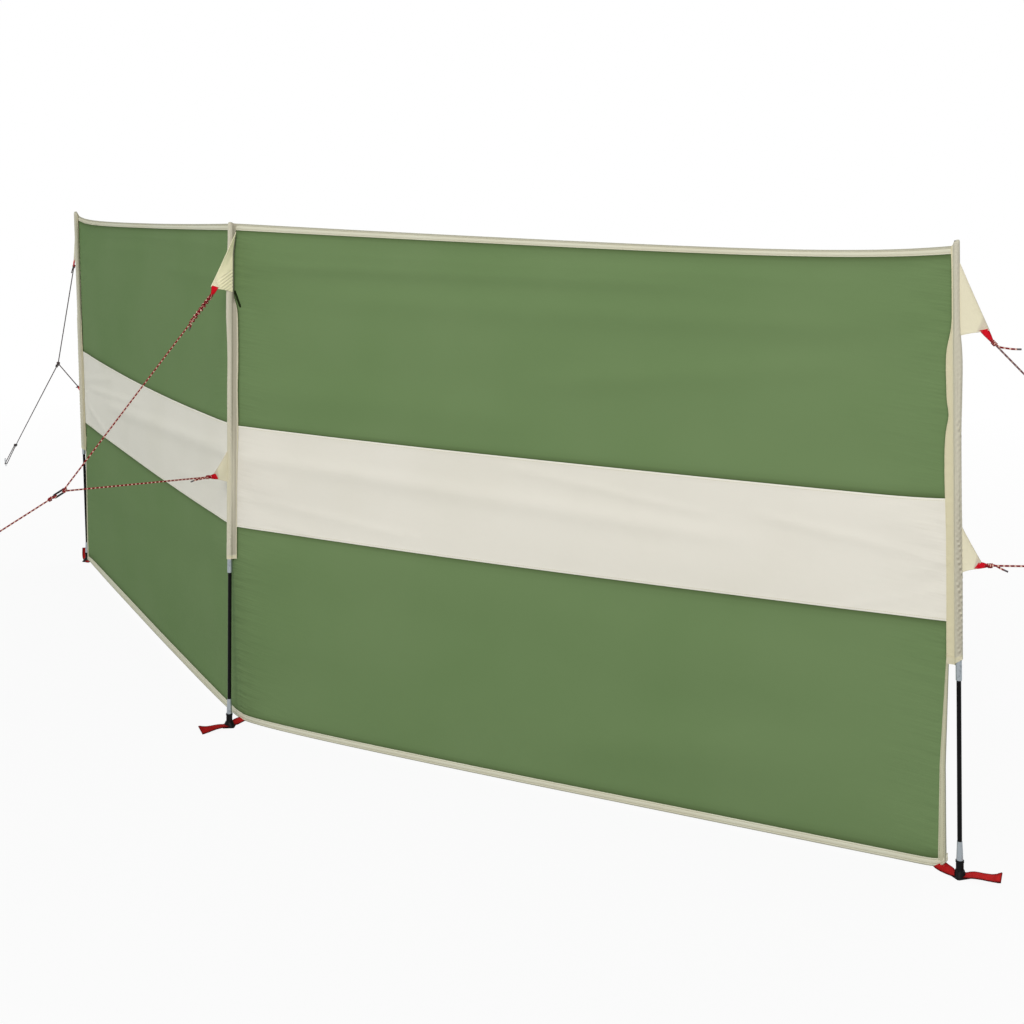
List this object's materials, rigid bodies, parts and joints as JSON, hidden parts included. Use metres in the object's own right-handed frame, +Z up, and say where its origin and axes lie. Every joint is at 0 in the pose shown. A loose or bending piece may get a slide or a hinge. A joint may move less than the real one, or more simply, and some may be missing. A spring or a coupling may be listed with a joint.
{
  "type": "beach windbreak",
  "caption": "Folded-line cloth windbreak with pole sleeves, a pale middle band, sectional poles, webbing foot straps and bridled guys to ground pegs.",
  "frame": {"origin": "centre of the middle foot's sole, on the ground", "axes": "+X along the row towards the right bay as seen from the windward side, +Y to the sheltered side, +Z up"},
  "size_m": [7.3295, 3.2343, 1.29],
  "materials": {
    "green_cloth": "plain woven polyester, sage green",
    "cream_cloth": "plain woven polyester, cream",
    "cream_hem": "folded cream hem with two rows of stitches",
    "sleeve_cloth": "cream polyester with puckered seams",
    "red_webbing": "red woven webbing",
    "guy_cord": "red braided cord with pale flecks",
    "black_pole": "black fibreglass tube",
    "ferrule_metal": "drawn metal, satin",
    "foot_plastic": "black moulded plastic",
    "link_plastic": "black moulded plastic",
    "peg_steel": "plated steel wire"
  },
  "bodies": {
    "root": {"left_pole_rods": "black_pole", "left_pole_ferrules": "ferrule_metal", "left_foot": "foot_plastic", "left_foot_strap": "red_webbing", "left_sleeve": "sleeve_cloth", "left_gussets": "sleeve_cloth", "left_guy_loops": "red_webbing", "left_guy": "guy_cord", "left_guy_link": "link_plastic", "left_guy_slider": "link_plastic", "left_peg": "peg_steel", "middle_pole_rods": "black_pole", "middle_pole_ferrules": "ferrule_metal", "middle_foot": "foot_plastic", "middle_foot_strap": "red_webbing", "middle_sleeve": "sleeve_cloth", "middle_gussets": "sleeve_cloth", "middle_guy_loops": "red_webbing", "middle_guy": "guy_cord", "middle_guy_link": "link_plastic", "middle_guy_slider": "link_plastic", "middle_peg": "peg_steel", "right_pole_rods": "black_pole", "right_pole_ferrules": "ferrule_metal", "right_foot": "foot_plastic", "right_foot_strap": "red_webbing", "right_sleeve": "sleeve_cloth", "right_gussets": "sleeve_cloth", "right_guy_loops": "red_webbing", "right_guy": "guy_cord", "right_guy_link": "link_plastic", "right_guy_slider": "link_plastic", "right_peg": "peg_steel", "left_top_hem": "cream_hem", "left_upper_cloth": "green_cloth", "left_band": "cream_cloth", "left_lower_cloth": "green_cloth", "left_bottom_hem": "cream_hem", "left_end_binding": "cream_hem", "right_top_hem": "cream_hem", "right_upper_cloth": "green_cloth", "right_band": "cream_cloth", "right_lower_cloth": "green_cloth", "right_bottom_hem": "cream_hem", "right_end_binding": "cream_hem"}
  },
  "joints": []
}
